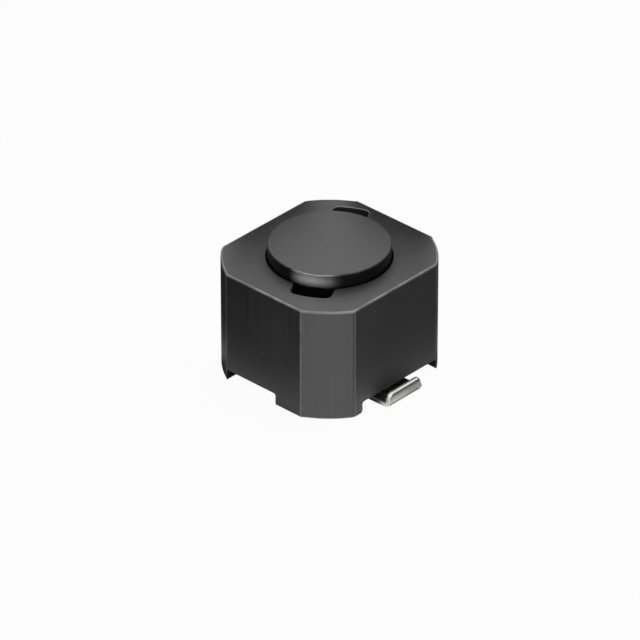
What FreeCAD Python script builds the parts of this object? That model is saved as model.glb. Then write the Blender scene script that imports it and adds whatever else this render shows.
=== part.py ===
import FreeCAD, Part
import math
import os

from FreeCAD import Vector

# Shielded surface-mount inductor, in millimetres, with +Z up.
# The origin is the centre of the footprint, on the board plane that the feet stand on.
# The two terminals stand out along +X and -X. Apart from its rear slot, the part looks the
# same after half a turn about Z, so the sizes below are given for the +X, -Y side.

# Shield core: a ferrite ring, square outside with four clipped and bowed corners.
shield_length = 11.64
shield_width = 12.5
shield_top = 8.05
terminal_face_flat = 7.68
plain_face_flat = 6.52
corner_radius = 7.0
shield_edge_round = 0.12
bore_edge_round = 0.05

# Two open slots in the bore wall, opposite each other, for the leads and the adhesive.
# The rear one, at -X, +Y, is narrower, and deep enough to leave only a wall at the corner.
slot_angle = -61.5
front_slot_width = 2.7
front_slot_depth = 1.12
rear_slot_width = 2.4
rear_slot_wall = 0.96
slot_corner_radius = 0.45

# Channels under the shield leave two large feet, and two small ones under clipped corners.
channel_height = 0.85
large_foot_start_x = 1.07
large_foot_start_y = 3.15
channel_corner_radius = 0.15

# Drum core: a one-piece ferrite bobbin that stands proud of the shield.
overall_height = 9.0
flange_diameter = 8.0
upper_flange_thickness = 2.1
lower_flange_thickness = 1.5
post_diameter = 4.0
flange_edge_round = 0.12
post_corner_radius = 0.15
shield_gap = 0.1

# Winding: one length of enamelled wire, wound on the post in as many layers as fit.
wire_diameter = 0.42
winding_cover = 0.2
post_clearance = 0.08
window_clearance = 0.05
lead_gap = 0.1
lead_bend_radius = 0.5

# Terminals: two strips with a lip bent up outside and a tongue for the lead inside.
# Each is set a little off the middle of its side, towards its tongue.
terminal_thickness = 0.35
terminal_width = 3.08
terminal_shift = 0.1
terminal_reach = 0.98
lip_height = 1.08
bend_inner_radius = 0.12
lip_corner_radius = 0.4
lip_least_side = 0.04
tongue_side = 0.23

# Base: a moulded plate that carries the drum and both terminals.
base_underside = 0.1
base_setback = 0.95
base_foot_clearance = 0.05
base_corner_radius = 0.4
pocket_clearance = 0.05

# Adhesive beads in the slots, and solder at the foot of each lead.
bead_grip = 0.2
bead_height = 0.55
solder_height = 0.45
solder_margin = 0.05
solder_neck_wall = 0.06

# How far a cutting block runs past what it cuts, and how near two levels count as one.
cut_past = 1.0
near = 1e-6
Z_AXIS = Vector(0, 0, 1)
ORIGIN = Vector(0, 0, 0)

# Sizes that follow from the ones above.
flange_radius = flange_diameter / 2
post_radius = post_diameter / 2
wire_radius = wire_diameter / 2
bore_radius = flange_radius + shield_gap
base_top = channel_height
drum_bottom = base_top
window_bottom = drum_bottom + lower_flange_thickness
window_top = overall_height - upper_flange_thickness
winding_inner_radius = post_radius + post_clearance
winding_layers = int((flange_radius - winding_cover - winding_inner_radius) / wire_diameter)
lead_radius = flange_radius + lead_gap + wire_radius
slot_direction = Vector(math.cos(math.radians(slot_angle)), math.sin(math.radians(slot_angle)), 0)
lead_foot = slot_direction * lead_radius
tongue_width = wire_diameter + 2 * tongue_side
terminal_inner_x = lead_foot.x - tongue_width / 2
terminal_outer_x = shield_length / 2 + terminal_reach
small_foot_start_x = plain_face_flat / 2
small_foot_start_y = terminal_face_flat / 2
bead_top = window_top + flange_edge_round + bead_grip


def half_turn(shape):
    """Copy of a shape, turned half a turn about the middle of the part."""
    turned = shape.copy()
    turned.rotate(ORIGIN, Z_AXIS, 180)
    return turned


def bowed_corner(start, end, radius):
    """Arc of the given radius from start to end, bowed away from the middle of the part."""
    chord = end - start
    middle = (start + end) * 0.5
    outward = Vector(chord.y, -chord.x, 0).normalize()
    if outward.dot(middle) < 0:
        outward = outward * -1
    sagitta = radius - math.sqrt(radius**2 - (chord.Length / 2) ** 2)
    return Part.Arc(start, middle + outward * sagitta, end).toShape()


def shield_outline():
    """Closed outline of the shield: four straight faces joined by four bowed corners."""
    face_x = shield_length / 2
    face_y = shield_width / 2
    flat_x = plain_face_flat / 2
    flat_y = terminal_face_flat / 2
    points = [
        Vector(face_x, -flat_y, 0),
        Vector(face_x, flat_y, 0),
        Vector(flat_x, face_y, 0),
        Vector(-flat_x, face_y, 0),
        Vector(-face_x, flat_y, 0),
        Vector(-face_x, -flat_y, 0),
        Vector(-flat_x, -face_y, 0),
        Vector(flat_x, -face_y, 0),
    ]
    edges = []
    for index in range(0, len(points), 2):
        face_start = points[index]
        face_end = points[index + 1]
        next_start = points[(index + 2) % len(points)]
        edges.append(Part.LineSegment(face_start, face_end).toShape())
        edges.append(bowed_corner(face_end, next_start, corner_radius))
    return Part.Wire(edges)


def rear_slot_floor():
    """Radius of the rear slot's floor, inside the outline by the wall that is left."""
    far_point = slot_direction * (shield_length + shield_width)
    inside = Part.makeLine(ORIGIN, far_point).common(Part.Face(shield_outline()))
    return inside.Length - rear_slot_wall


def slot_prism(width, floor_radius, bottom, height):
    """Block that fills a slot from the middle of the part out to the slot's round floor."""
    walls = Part.makeBox(floor_radius, width, height, Vector(0, -width / 2, bottom))
    floor = Part.makeCylinder(floor_radius, height, Vector(0, 0, bottom))
    block = walls.common(floor)
    outer_corners = []
    for edge in block.Edges:
        box = edge.BoundBox
        reach = math.hypot(box.Center.x, box.Center.y)
        if reach > floor_radius - near and box.ZLength > height / 2:
            outer_corners.append(edge)
    block = block.makeFillet(slot_corner_radius, outer_corners)
    block.rotate(ORIGIN, Z_AXIS, slot_angle)
    return block


def front_slot(bottom, height):
    """What fills the slot at +X, -Y between two levels."""
    return slot_prism(front_slot_width, bore_radius + front_slot_depth, bottom, height)


def rear_slot(bottom, height):
    """What fills the slot at -X, +Y between two levels."""
    return half_turn(slot_prism(rear_slot_width, rear_slot_floor(), bottom, height))


def bore_tool():
    """The bore with its two slots, cut right through the shield."""
    height = shield_top + 2 * cut_past
    bore = Part.makeCylinder(bore_radius, height, Vector(0, 0, -cut_past))
    return bore.fuse([front_slot(-cut_past, height), rear_slot(-cut_past, height)]).removeSplitter()


def foot_block(start_x, start_y, reach):
    """Block that a channel leaves standing, for the corner at +X, -Y."""
    height = channel_height + 2 * cut_past
    return Part.makeBox(reach, reach, height, Vector(start_x, -start_y - reach, -cut_past))


def channel_tool():
    """What is cut away under the shield, between its feet."""
    reach = shield_length + shield_width
    corner = Vector(-reach, -reach, -cut_past)
    slab = Part.makeBox(2 * reach, 2 * reach, channel_height + cut_past, corner)
    large_foot = foot_block(large_foot_start_x, large_foot_start_y, reach)
    small_foot = foot_block(small_foot_start_x, small_foot_start_y, reach)
    small_foot = small_foot.mirror(ORIGIN, Vector(0, 1, 0))
    feet = [large_foot, half_turn(large_foot), small_foot, half_turn(small_foot)]
    channel = slab.cut(feet)
    wall_tops = []
    for edge in channel.Edges:
        box = edge.BoundBox
        level = box.ZMin > channel_height - near
        inside = abs(box.Center.x) < reach - near and abs(box.Center.y) < reach - near
        if level and inside:
            wall_tops.append(edge)
    return channel.makeFillet(channel_corner_radius, wall_tops)


def bore_mouth_edges(shield):
    """Edges of the bore and its slots on the shield's top face."""
    middle = Vector(0, 0, shield_top)
    floor_radius = max(bore_radius + front_slot_depth, rear_slot_floor())
    edges = []
    for edge in shield.Edges:
        level = edge.BoundBox.ZMin > shield_top - near
        farthest = max(vertex.Point.distanceToPoint(middle) for vertex in edge.Vertexes)
        if level and farthest < floor_radius + near:
            edges.append(edge)
    return edges


def make_shield_core():
    """Ferrite ring with clipped corners, a slotted bore and four feet."""
    blank = Part.Face(shield_outline()).extrude(Vector(0, 0, shield_top))
    blank = blank.makeFillet(shield_edge_round, blank.Edges)
    ring = blank.cut(bore_tool())
    ring = ring.makeFillet(bore_edge_round, bore_mouth_edges(ring))
    return ring.cut(channel_tool())


def round_edges(shape, radius):
    """Edges of a turned solid that are circles of the given radius."""
    edges = []
    for edge in shape.Edges:
        if hasattr(edge.Curve, "Radius") and abs(edge.Curve.Radius - radius) < near:
            edges.append(edge)
    return edges


def revolve_profile(edges):
    """Solid turned about the Z axis from a closed profile in the X-Z plane."""
    face = Part.Face(Part.Wire(edges))
    return face.revolve(ORIGIN, Z_AXIS, 360)


def polyline(points):
    """Straight edges through the points, and back to the first one."""
    return Part.makePolygon(points + [points[0]]).Edges


def make_drum_core():
    """Ferrite bobbin: a lower flange, a post and the thick upper flange, in one piece."""
    profile = polyline(
        [
            Vector(0, 0, drum_bottom),
            Vector(flange_radius, 0, drum_bottom),
            Vector(flange_radius, 0, window_bottom),
            Vector(post_radius, 0, window_bottom),
            Vector(post_radius, 0, window_top),
            Vector(flange_radius, 0, window_top),
            Vector(flange_radius, 0, overall_height),
            Vector(0, 0, overall_height),
        ]
    )
    drum = revolve_profile(profile)
    drum = drum.makeFillet(flange_edge_round, round_edges(drum, flange_radius))
    return drum.makeFillet(post_corner_radius, round_edges(drum, post_radius))


def winding_span():
    """Number of turns in a layer, and the winding's lowest and highest level."""
    room = window_top - window_bottom - 2 * window_clearance
    turns = int(room / wire_diameter)
    slack = (room - turns * wire_diameter) / 2
    bottom = window_bottom + window_clearance + slack
    return turns, bottom, bottom + turns * wire_diameter


def lead_wire(bottom, start_radius):
    """Lead that leaves the lowest turn, passes the lower flange and drops to the board side."""
    level = bottom + wire_radius
    bend = lead_bend_radius * (1 - math.sqrt(0.5))
    start = Vector(start_radius, 0, level)
    bend_start = Vector(lead_radius - lead_bend_radius, 0, level)
    bend_middle = Vector(lead_radius - bend, 0, level - bend)
    bend_end = Vector(lead_radius, 0, level - lead_bend_radius)
    end = Vector(lead_radius, 0, terminal_thickness)
    path = Part.Wire(
        [
            Part.LineSegment(start, bend_start).toShape(),
            Part.Arc(bend_start, bend_middle, bend_end).toShape(),
            Part.LineSegment(bend_end, end).toShape(),
        ]
    )
    section = Part.Wire([Part.Circle(start, Vector(1, 0, 0), wire_radius).toShape()])
    lead = path.makePipeShell([section], True, False)
    lead.rotate(ORIGIN, Z_AXIS, slot_angle)
    return lead


def make_coil_winding():
    """Layers of wire round the post, with the rounds of the outer layer, and two leads."""
    turns, bottom, top = winding_span()
    outer_radius = winding_inner_radius + winding_layers * wire_diameter
    groove_radius = outer_radius - wire_radius
    inner_bottom = Vector(winding_inner_radius, 0, bottom)
    inner_top = Vector(winding_inner_radius, 0, top)
    edges = [Part.LineSegment(inner_bottom, Vector(groove_radius, 0, bottom)).toShape()]
    for turn in range(turns):
        low = bottom + turn * wire_diameter
        edges.append(
            Part.Arc(
                Vector(groove_radius, 0, low),
                Vector(outer_radius, 0, low + wire_radius),
                Vector(groove_radius, 0, low + wire_diameter),
            ).toShape()
        )
    edges.append(Part.LineSegment(Vector(groove_radius, 0, top), inner_top).toShape())
    edges.append(Part.LineSegment(inner_top, inner_bottom).toShape())
    coil = revolve_profile(edges)
    lead = lead_wire(bottom, groove_radius - wire_radius)
    return coil.fuse([lead, half_turn(lead)])


def terminal_section(outer_bend):
    """Side view of a terminal: the flat strip and the lip bent up at its outer end."""
    inner_bend = bend_inner_radius
    lip_inner_x = terminal_outer_x - terminal_thickness
    bend_x = terminal_outer_x - outer_bend
    slant = math.sqrt(0.5)
    under_bend = Vector(bend_x, 0, 0)
    outer_middle = Vector(bend_x + outer_bend * slant, 0, outer_bend * (1 - slant))
    outer_low = Vector(terminal_outer_x, 0, outer_bend)
    outer_top = Vector(terminal_outer_x, 0, lip_height)
    inner_top = Vector(lip_inner_x, 0, lip_height)
    inner_low = Vector(lip_inner_x, 0, outer_bend)
    inner_middle = Vector(bend_x + inner_bend * slant, 0, outer_bend - inner_bend * slant)
    over_bend = Vector(bend_x, 0, terminal_thickness)
    strip_top = Vector(terminal_inner_x, 0, terminal_thickness)
    strip_bottom = Vector(terminal_inner_x, 0, 0)
    return [
        Part.LineSegment(strip_bottom, under_bend).toShape(),
        Part.Arc(under_bend, outer_middle, outer_low).toShape(),
        Part.LineSegment(outer_low, outer_top).toShape(),
        Part.LineSegment(outer_top, inner_top).toShape(),
        Part.LineSegment(inner_top, inner_low).toShape(),
        Part.Arc(inner_low, inner_middle, over_bend).toShape(),
        Part.LineSegment(over_bend, strip_top).toShape(),
        Part.LineSegment(strip_top, strip_bottom).toShape(),
    ]


def tongue_block(clearance, bottom, height):
    """Tongue from the middle of the strip to its round end under the lead, with room all round."""
    reach = tongue_width / 2 + clearance
    arm = Part.makeBox(2 * reach, -lead_foot.y, height, Vector(lead_foot.x - reach, lead_foot.y, bottom))
    end = Part.makeCylinder(reach, height, Vector(lead_foot.x, lead_foot.y, bottom))
    return arm.fuse(end).removeSplitter()


def make_terminal():
    """Tinned strip with its lip and tongue, for the +X side."""
    outer_bend = bend_inner_radius + terminal_thickness
    face = Part.Face(Part.Wire(terminal_section(outer_bend)))
    strip = face.extrude(Vector(0, terminal_width, 0))
    strip.translate(Vector(0, -terminal_width / 2 - terminal_shift, 0))
    lip_corners = []
    for edge in strip.Edges:
        box = edge.BoundBox
        at_top = box.ZMin > lip_height - near
        across = box.XLength > terminal_thickness / 2
        if at_top and across:
            lip_corners.append(edge)
    corner_limit = lip_height - outer_bend - lip_least_side
    strip = strip.makeFillet(min(lip_corner_radius, corner_limit), lip_corners)
    return strip.fuse(tongue_block(0, 0, terminal_thickness)).removeSplitter()


def pocket_tool():
    """Room under the base for one terminal, open at the side of the base."""
    reach = shield_length
    depth = terminal_thickness + cut_past
    half_width = terminal_width / 2 + pocket_clearance
    start = Vector(terminal_inner_x - pocket_clearance, -half_width - terminal_shift, -cut_past)
    strip_room = Part.makeBox(reach, 2 * half_width, depth, start)
    return strip_room.fuse(tongue_block(pocket_clearance, -cut_past, depth)).removeSplitter()


def make_terminal_base():
    """Moulded plate between the feet, with a pocket for each terminal underneath."""
    half_length = shield_length / 2 - base_setback
    half_width = large_foot_start_y - channel_corner_radius - base_foot_clearance
    thickness = base_top - base_underside
    corner = Vector(-half_length, -half_width, base_underside)
    plate = Part.makeBox(2 * half_length, 2 * half_width, thickness, corner)
    uprights = [edge for edge in plate.Edges if edge.BoundBox.ZLength > thickness / 2]
    plate = plate.makeFillet(base_corner_radius, uprights)
    pocket = pocket_tool()
    return plate.cut([pocket, half_turn(pocket)])


def make_core_adhesive(slot):
    """Bead in one slot that bonds the upper flange to the shield."""
    bottom = bead_top - bead_height
    height = bead_height + 2 * cut_past
    inside = Part.makeCylinder(flange_radius, height, Vector(0, 0, bottom - cut_past))
    return slot(bottom, bead_height).cut(inside)


def make_solder_joint():
    """Cone of solder round the foot of one lead, on the terminal's tongue."""
    foot = Vector(lead_foot.x, lead_foot.y, terminal_thickness)
    foot_radius = tongue_width / 2 - solder_margin
    neck_radius = wire_radius + solder_neck_wall
    cone = Part.makeCone(foot_radius, neck_radius, solder_height, foot)
    lead = Part.makeCylinder(wire_radius, solder_height + cut_past, foot)
    return cone.cut(lead)


def export(name, shape):
    """Write one piece to its own file."""
    if len(shape.Solids) == 1:
        shape = shape.Solids[0]
    shape.exportStep(os.path.join("parts", name + ".step"))


def main():
    os.makedirs("parts", exist_ok=True)
    terminal = make_terminal()
    solder = make_solder_joint()
    export("terminal_base", make_terminal_base())
    export("terminal_right", terminal)
    export("terminal_left", half_turn(terminal))
    export("drum_core", make_drum_core())
    export("coil_winding", make_coil_winding())
    export("solder_joint_right", solder)
    export("solder_joint_left", half_turn(solder))
    export("shield_core", make_shield_core())
    export("core_adhesive_front", make_core_adhesive(front_slot))
    export("core_adhesive_rear", make_core_adhesive(rear_slot))


main()
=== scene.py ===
import math

import bmesh
import bpy
from mathutils import Matrix, Vector


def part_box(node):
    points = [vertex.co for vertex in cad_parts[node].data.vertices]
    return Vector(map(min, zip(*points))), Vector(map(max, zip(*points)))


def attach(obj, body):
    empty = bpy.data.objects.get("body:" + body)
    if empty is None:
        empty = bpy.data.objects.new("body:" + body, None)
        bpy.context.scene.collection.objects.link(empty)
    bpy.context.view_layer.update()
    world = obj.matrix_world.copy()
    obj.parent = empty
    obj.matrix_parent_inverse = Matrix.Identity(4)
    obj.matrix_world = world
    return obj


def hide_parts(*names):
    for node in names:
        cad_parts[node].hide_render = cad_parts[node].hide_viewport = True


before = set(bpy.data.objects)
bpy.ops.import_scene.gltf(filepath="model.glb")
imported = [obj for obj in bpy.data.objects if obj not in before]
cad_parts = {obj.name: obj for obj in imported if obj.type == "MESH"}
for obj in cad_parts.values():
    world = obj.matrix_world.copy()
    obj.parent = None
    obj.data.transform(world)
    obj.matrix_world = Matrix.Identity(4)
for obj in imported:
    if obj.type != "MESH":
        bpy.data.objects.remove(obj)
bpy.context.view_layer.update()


# Drum core: the ferrite bobbin that carries the winding and closes the top of the part.
# It is pressed from powder and fired in one piece, with a thin lower and a thick upper flange.
MM = 0.001
drum_low, drum_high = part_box("drum_core")
flange_radius = drum_high.x
drum_bottom = drum_low.z
drum_top = drum_high.z
drum_middle_radius = 0.4 * MM
post_radius = 2.0 * MM
lower_flange_thickness = 1.5 * MM
upper_flange_thickness = 2.1 * MM
flange_edge_round = 0.08 * MM
flange_face_support = 0.1 * MM
post_corner_round = 0.15 * MM
window_bottom = drum_bottom + lower_flange_thickness
window_top = drum_top - upper_flange_thickness
drum_steps = 160
sharp_turn = 35
flat_face_weight = 80
gentle_bend = 900
tight_bend = 5000
least_area = 1e-14
drum_wear_and_highlight = 0.4
wear_and_highlight_noise_span = (0.3, 0.65)
wear_and_highlight_breakup = (0.45, 1.0)
pit_span = (0.03, 0.12)
pit_depth = 1.0
streak_stretch = (1.0, 1.0, 0.03)
cloud_span = (0.35, 0.65)
grain_span = (0.3, 0.7)
ferrite_tones = ((0.010, 0.010, 0.0104, 1.0), (0.015, 0.015, 0.0155, 1.0))
# The flange rims take a darker copy of the ferrite, with a lower index, that paints them in shade.
rim_painted_shade_tones = ((0.004, 0.004, 0.0042, 1.0), (0.006, 0.006, 0.0062, 1.0))
# Lighter, partly metallic colour on the outer edges: burnished wear and a painted edge highlight.
wear_and_highlight_colour = (0.38, 0.38, 0.385, 1.0)
ferrite_index, rim_shade_index = 2.15, 1.35
ferrite_dullest, rim_dullest = 0.54, 0.46
ferrite_streak_depth, rim_streak_depth = 0.0015 * MM, 0.008 * MM
ferrite_relief = (0.35, 0.004 * MM)
speckle_tones = (0.88, 1.08)
cloud_gloss = 0.06
streak_gloss = 0.04
worn_dullness = 0.02
wear_and_highlight_metal = 0.75


def rounded_corners(corners, steps=5):
    """Closed outline through corners (x, y, radius), with an arc at each that has a radius."""
    outline = []
    for index, (x, y, radius) in enumerate(corners):
        corner = Vector((x, y))
        if radius == 0:
            outline.append(corner)
            continue
        back = (Vector(corners[index - 1][:2]) - corner).normalized()
        ahead = (Vector(corners[(index + 1) % len(corners)][:2]) - corner).normalized()
        half_angle = back.angle(ahead) / 2
        middle = corner + (back + ahead).normalized() * radius / math.sin(half_angle)
        first = corner + back * radius / math.tan(half_angle) - middle
        last = corner + ahead * radius / math.tan(half_angle) - middle
        for step in range(steps + 1):
            outline.append(middle + first.normalized().slerp(last.normalized(), step / steps) * radius)
    return outline


def skin(rings, wrap=False):
    """Closed shell over rings of points; it wraps round to the first ring or is capped at its ends."""
    shell = bmesh.new()
    loops = [[shell.verts.new(point) for point in ring] for ring in rings]
    pairs = list(zip(loops, loops[1:]))
    if wrap:
        pairs.append((loops[-1], loops[0]))
    else:
        shell.faces.new(loops[0])
        shell.faces.new(loops[-1])
    for near_loop, far_loop in pairs:
        for index, corner in enumerate(near_loop):
            after = (index + 1) % len(near_loop)
            shell.faces.new((corner, near_loop[after], far_loop[after], far_loop[index]))
    bmesh.ops.recalc_face_normals(shell, faces=shell.faces)
    return shell


def turned_rings(profile, steps, centre=(0, 0)):
    """Rings of a turned shape, one for each profile point (radius, height)."""
    rings = []
    for radius, height in profile:
        ring = []
        for step in range(steps):
            angle = 2 * math.pi * step / steps
            ring.append((centre[0] + radius * math.cos(angle), centre[1] + radius * math.sin(angle), height))
        rings.append(ring)
    return rings


def mark_wear_and_highlight(shell, most, least_radius=0):
    """Store on each vertex how tightly the surface bends outwards there, from 0 to the most: the mask of
    burnished wear and painted edge highlight.
    """
    wear_and_highlight = shell.verts.layers.float.new("wear_and_highlight")
    for edge in shell.edges:
        if len(edge.link_faces) != 2:
            continue
        area = sum(face.calc_area() for face in edge.link_faces) / 2
        bend = edge.calc_face_angle_signed(0) * edge.calc_length() / max(area, least_area)
        share = min(max((bend - gentle_bend) / (tight_bend - gentle_bend), 0), 1) * most
        for vertex in edge.verts:
            if math.hypot(vertex.co.x, vertex.co.y) > least_radius:
                vertex[wear_and_highlight] = max(vertex[wear_and_highlight], share)


def make_piece(name, shell, material, sharp_angle=sharp_turn):
    """Turn a shell into a piece of the part, shaded smooth except at sharp edges."""
    mesh = bpy.data.meshes.new(name)
    shell.to_mesh(mesh)
    shell.free()
    mesh.shade_smooth()
    mesh.set_sharp_from_angle(angle=math.radians(sharp_angle))
    mesh.materials.append(material)
    piece = bpy.data.objects.new(name, mesh)
    bpy.context.scene.collection.objects.link(piece)
    weighted = piece.modifiers.new("flat_faces", "WEIGHTED_NORMAL")
    weighted.keep_sharp = True
    weighted.weight = flat_face_weight
    return piece


def set_inputs(tree, node, values):
    """Set each named input of a node to a plain value, or join it to a socket."""
    for name, value in values.items():
        if isinstance(value, bpy.types.NodeSocket):
            tree.links.new(value, node.inputs[name])
        else:
            node.inputs[name].default_value = value


def add_node(tree, kind, values=None, **settings):
    """Node of a kind, with its settings and what its inputs are set or joined to."""
    node = tree.nodes.new(kind)
    for name, value in settings.items():
        setattr(node, name, value)
    set_inputs(tree, node, values or {})
    return node


def new_material(name, values=None):
    """Node material, its tree and its shader, with the shader's plain values."""
    material = bpy.data.materials.new(name)
    material.use_nodes = True
    tree = material.node_tree
    shader = tree.nodes["Principled BSDF"]
    set_inputs(tree, shader, values or {})
    return material, tree, shader


def add_texture(tree, group, values=None):
    """Outputs of a node group that is placed in a material with its own values."""
    return add_node(tree, "ShaderNodeGroup", values, node_tree=group).outputs


def combine(tree, operation, first, second=0.0, use_clamp=False):
    """Result of a sum on two sockets, or on a socket and a number."""
    settings = {"operation": operation, "use_clamp": use_clamp}
    return add_node(tree, "ShaderNodeMath", {0: first, 1: second}, **settings).outputs["Value"]


def ramp(tree, value, start, end, low=0.0, high=1.0, kind="LINEAR"):
    """Value taken from low at start to high at end, and held beyond them."""
    values = {"Value": value, "From Min": start, "From Max": end, "To Min": low, "To Max": high}
    return add_node(tree, "ShaderNodeMapRange", values, interpolation_type=kind).outputs["Result"]


def mix_tones(tree, share, first, second, blend_type="MIX"):
    """Colour that goes from the first to the second as the share grows."""
    settings = {"data_type": "RGBA", "blend_type": blend_type}
    values = {"Factor": share, "A": first, "B": second}
    return add_node(tree, "ShaderNodeMix", values, **settings).outputs["Result"]


def noise(tree, place, scale, detail, roughness=0.5):
    """Soft noise about a half, at a place."""
    values = {"Vector": place, "Scale": scale, "Detail": detail, "Roughness": roughness}
    return add_node(tree, "ShaderNodeTexNoise", values).outputs["Fac"]


def drawn_out(tree, place, stretch):
    """Place with its texture drawn out into lines."""
    return add_node(tree, "ShaderNodeMapping", {"Vector": place, "Scale": stretch}).outputs["Vector"]


def relief(tree, height, strength, depth, values=None):
    """Normal of a surface with fine relief."""
    values = {"Height": height, "Strength": strength, "Distance": depth, **(values or {})}
    return add_node(tree, "ShaderNodeBump", values).outputs["Normal"]


def new_group(name, inputs, outputs):
    """Shader node group, with what it is given and the place that its textures lie at."""
    group = bpy.data.node_groups.new(name, "ShaderNodeTree")
    for label, value in inputs.items():
        socket = group.interface.new_socket(label, in_out="INPUT", socket_type="NodeSocketFloat")
        socket.default_value = value
    for label in outputs:
        group.interface.new_socket(label, in_out="OUTPUT", socket_type="NodeSocketFloat")
    given = group.nodes.new("NodeGroupInput").outputs
    return group, given, add_node(group, "ShaderNodeTexCoord").outputs["Object"]


def make_edge_wear_and_highlight_group():
    """Mask of edges that handling has burnished and that carry a painted highlight: the stored bend, broken
    up by noise.
    """
    group, given, place = new_group("edge_wear_and_highlight", {"Amount": 1.0, "Breakup Scale": 1500.0}, ["Mask"])
    bend = add_node(group, "ShaderNodeAttribute", attribute_name="wear_and_highlight").outputs["Fac"]
    patches = noise(group, place, given["Breakup Scale"], detail=4.0)
    broken = combine(group, "MULTIPLY", bend, ramp(group, patches, *wear_and_highlight_noise_span, *wear_and_highlight_breakup))
    mask = combine(group, "MULTIPLY", broken, given["Amount"], use_clamp=True)
    add_node(group, "NodeGroupOutput", {"Mask": mask})
    return group


def make_grain_group():
    """Fine grain and broad cloudiness of a pressed or moulded body, as two tones and a height."""
    scales = {"Grain Scale": 14000.0, "Cloud Scale": 260.0, "Pit Scale": 2600.0}
    group, given, place = new_group("body_grain", scales, ["Cloud", "Grain", "Height"])
    cloud = noise(group, place, given["Cloud Scale"], detail=3.0, roughness=0.55)
    grain = noise(group, place, given["Grain Scale"], detail=5.0, roughness=0.7)
    pit_values = {"Vector": place, "Scale": given["Pit Scale"]}
    pits = add_node(group, "ShaderNodeTexVoronoi", pit_values, feature="F1")
    pit_floor = ramp(group, pits.outputs["Distance"], *pit_span, -pit_depth, 0.0)
    height = combine(group, "ADD", grain, pit_floor)
    add_node(group, "NodeGroupOutput", {"Cloud": cloud, "Grain": grain, "Height": height})
    return group


def make_streaks_group():
    """Fine upright streaks, as a pressing die or a grinding wheel leaves them."""
    group, given, place = new_group("upright_streaks", {"Scale": 3500.0}, ["Streaks"])
    upright = drawn_out(group, place, streak_stretch)
    streaks = noise(group, upright, given["Scale"], detail=4.0, roughness=0.6)
    add_node(group, "NodeGroupOutput", {"Streaks": streaks})
    return group


edge_wear_and_highlight = make_edge_wear_and_highlight_group()
body_grain = make_grain_group()
upright_streaks = make_streaks_group()


def make_ferrite(name, tones, index, dullest, streak_depth):
    """Dark grey satin ferrite: cloudy, finely grained and streaked, with burnished edges that are also
    painted lighter as an edge highlight.
    """
    material, tree, shader = new_material(name, {"IOR": index})
    grain = add_texture(tree, body_grain)
    streaks = add_texture(tree, upright_streaks)["Streaks"]
    wear_and_highlight = add_texture(tree, edge_wear_and_highlight, {"Amount": 1.0, "Breakup Scale": 900.0})["Mask"]
    body = mix_tones(tree, ramp(tree, grain["Cloud"], *cloud_span), *tones)
    speckles = ramp(tree, grain["Grain"], *grain_span, *speckle_tones)
    speckled = mix_tones(tree, 1.0, body, speckles, "MULTIPLY")
    gloss = ramp(tree, grain["Cloud"], *grain_span, dullest - cloud_gloss, dullest)
    worn_gloss = ramp(tree, wear_and_highlight, 0.0, 1.0, 0.0, worn_dullness)
    streaked = ramp(tree, streaks, *grain_span, -streak_gloss, streak_gloss)
    lines = relief(tree, streaks, 1.0, streak_depth)
    # Outer edges take a lighter, partly metallic colour: burnished wear and a painted edge highlight.
    values = {
        "Base Color": mix_tones(tree, wear_and_highlight, speckled, wear_and_highlight_colour),
        "Metallic": ramp(tree, wear_and_highlight, 0.0, 1.0, 0.0, wear_and_highlight_metal),
        "Roughness": combine(tree, "ADD", combine(tree, "ADD", gloss, worn_gloss), streaked),
        "Normal": relief(tree, grain["Height"], *ferrite_relief, {"Normal": lines}),
    }
    set_inputs(tree, shader, values)
    return material


def flange_rim(bottom, top):
    """Corners of a flange's section round its rim, each with its round."""
    reach = flange_edge_round + flange_face_support
    return [
        (flange_radius - reach, bottom, 0),
        (flange_radius, bottom, flange_edge_round),
        (flange_radius, bottom + reach, 0),
        (flange_radius, top - reach, 0),
        (flange_radius, top, flange_edge_round),
        (flange_radius - reach, top, 0),
    ]


def drum_profile():
    """Half section of the drum from the middle of its underside to the middle of its top."""
    corners = [
        (drum_middle_radius, drum_bottom, 0),
        *flange_rim(drum_bottom, window_bottom),
        (post_radius, window_bottom, post_corner_round),
        (post_radius, window_top, post_corner_round),
        *flange_rim(window_top, drum_top),
        (flange_radius / 2, drum_top, 0),
        (drum_middle_radius, drum_top, 0),
    ]
    return rounded_corners(corners)


ferrite = make_ferrite("ferrite_satin", ferrite_tones, ferrite_index, ferrite_dullest, ferrite_streak_depth)
rim_shaded_ferrite = make_ferrite("ferrite_rim_painted_shade", rim_painted_shade_tones, rim_shade_index, rim_dullest, rim_streak_depth)
drum_shell = skin(turned_rings(drum_profile(), drum_steps))
# The drum's outer edges get burnished wear and a painted edge highlight.
mark_wear_and_highlight(drum_shell, drum_wear_and_highlight)
# Faces on the flange rims take the darker copy of the ferrite, painted in shade.
for face in drum_shell.faces:
    middle = face.calc_center_median()
    face.material_index = int(math.hypot(middle.x, middle.y) > flange_radius - flange_edge_round)
drum = make_piece("ferrite_drum", drum_shell, ferrite)
drum.data.materials.append(rim_shaded_ferrite)
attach(drum, "root")
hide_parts("drum_core")


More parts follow.
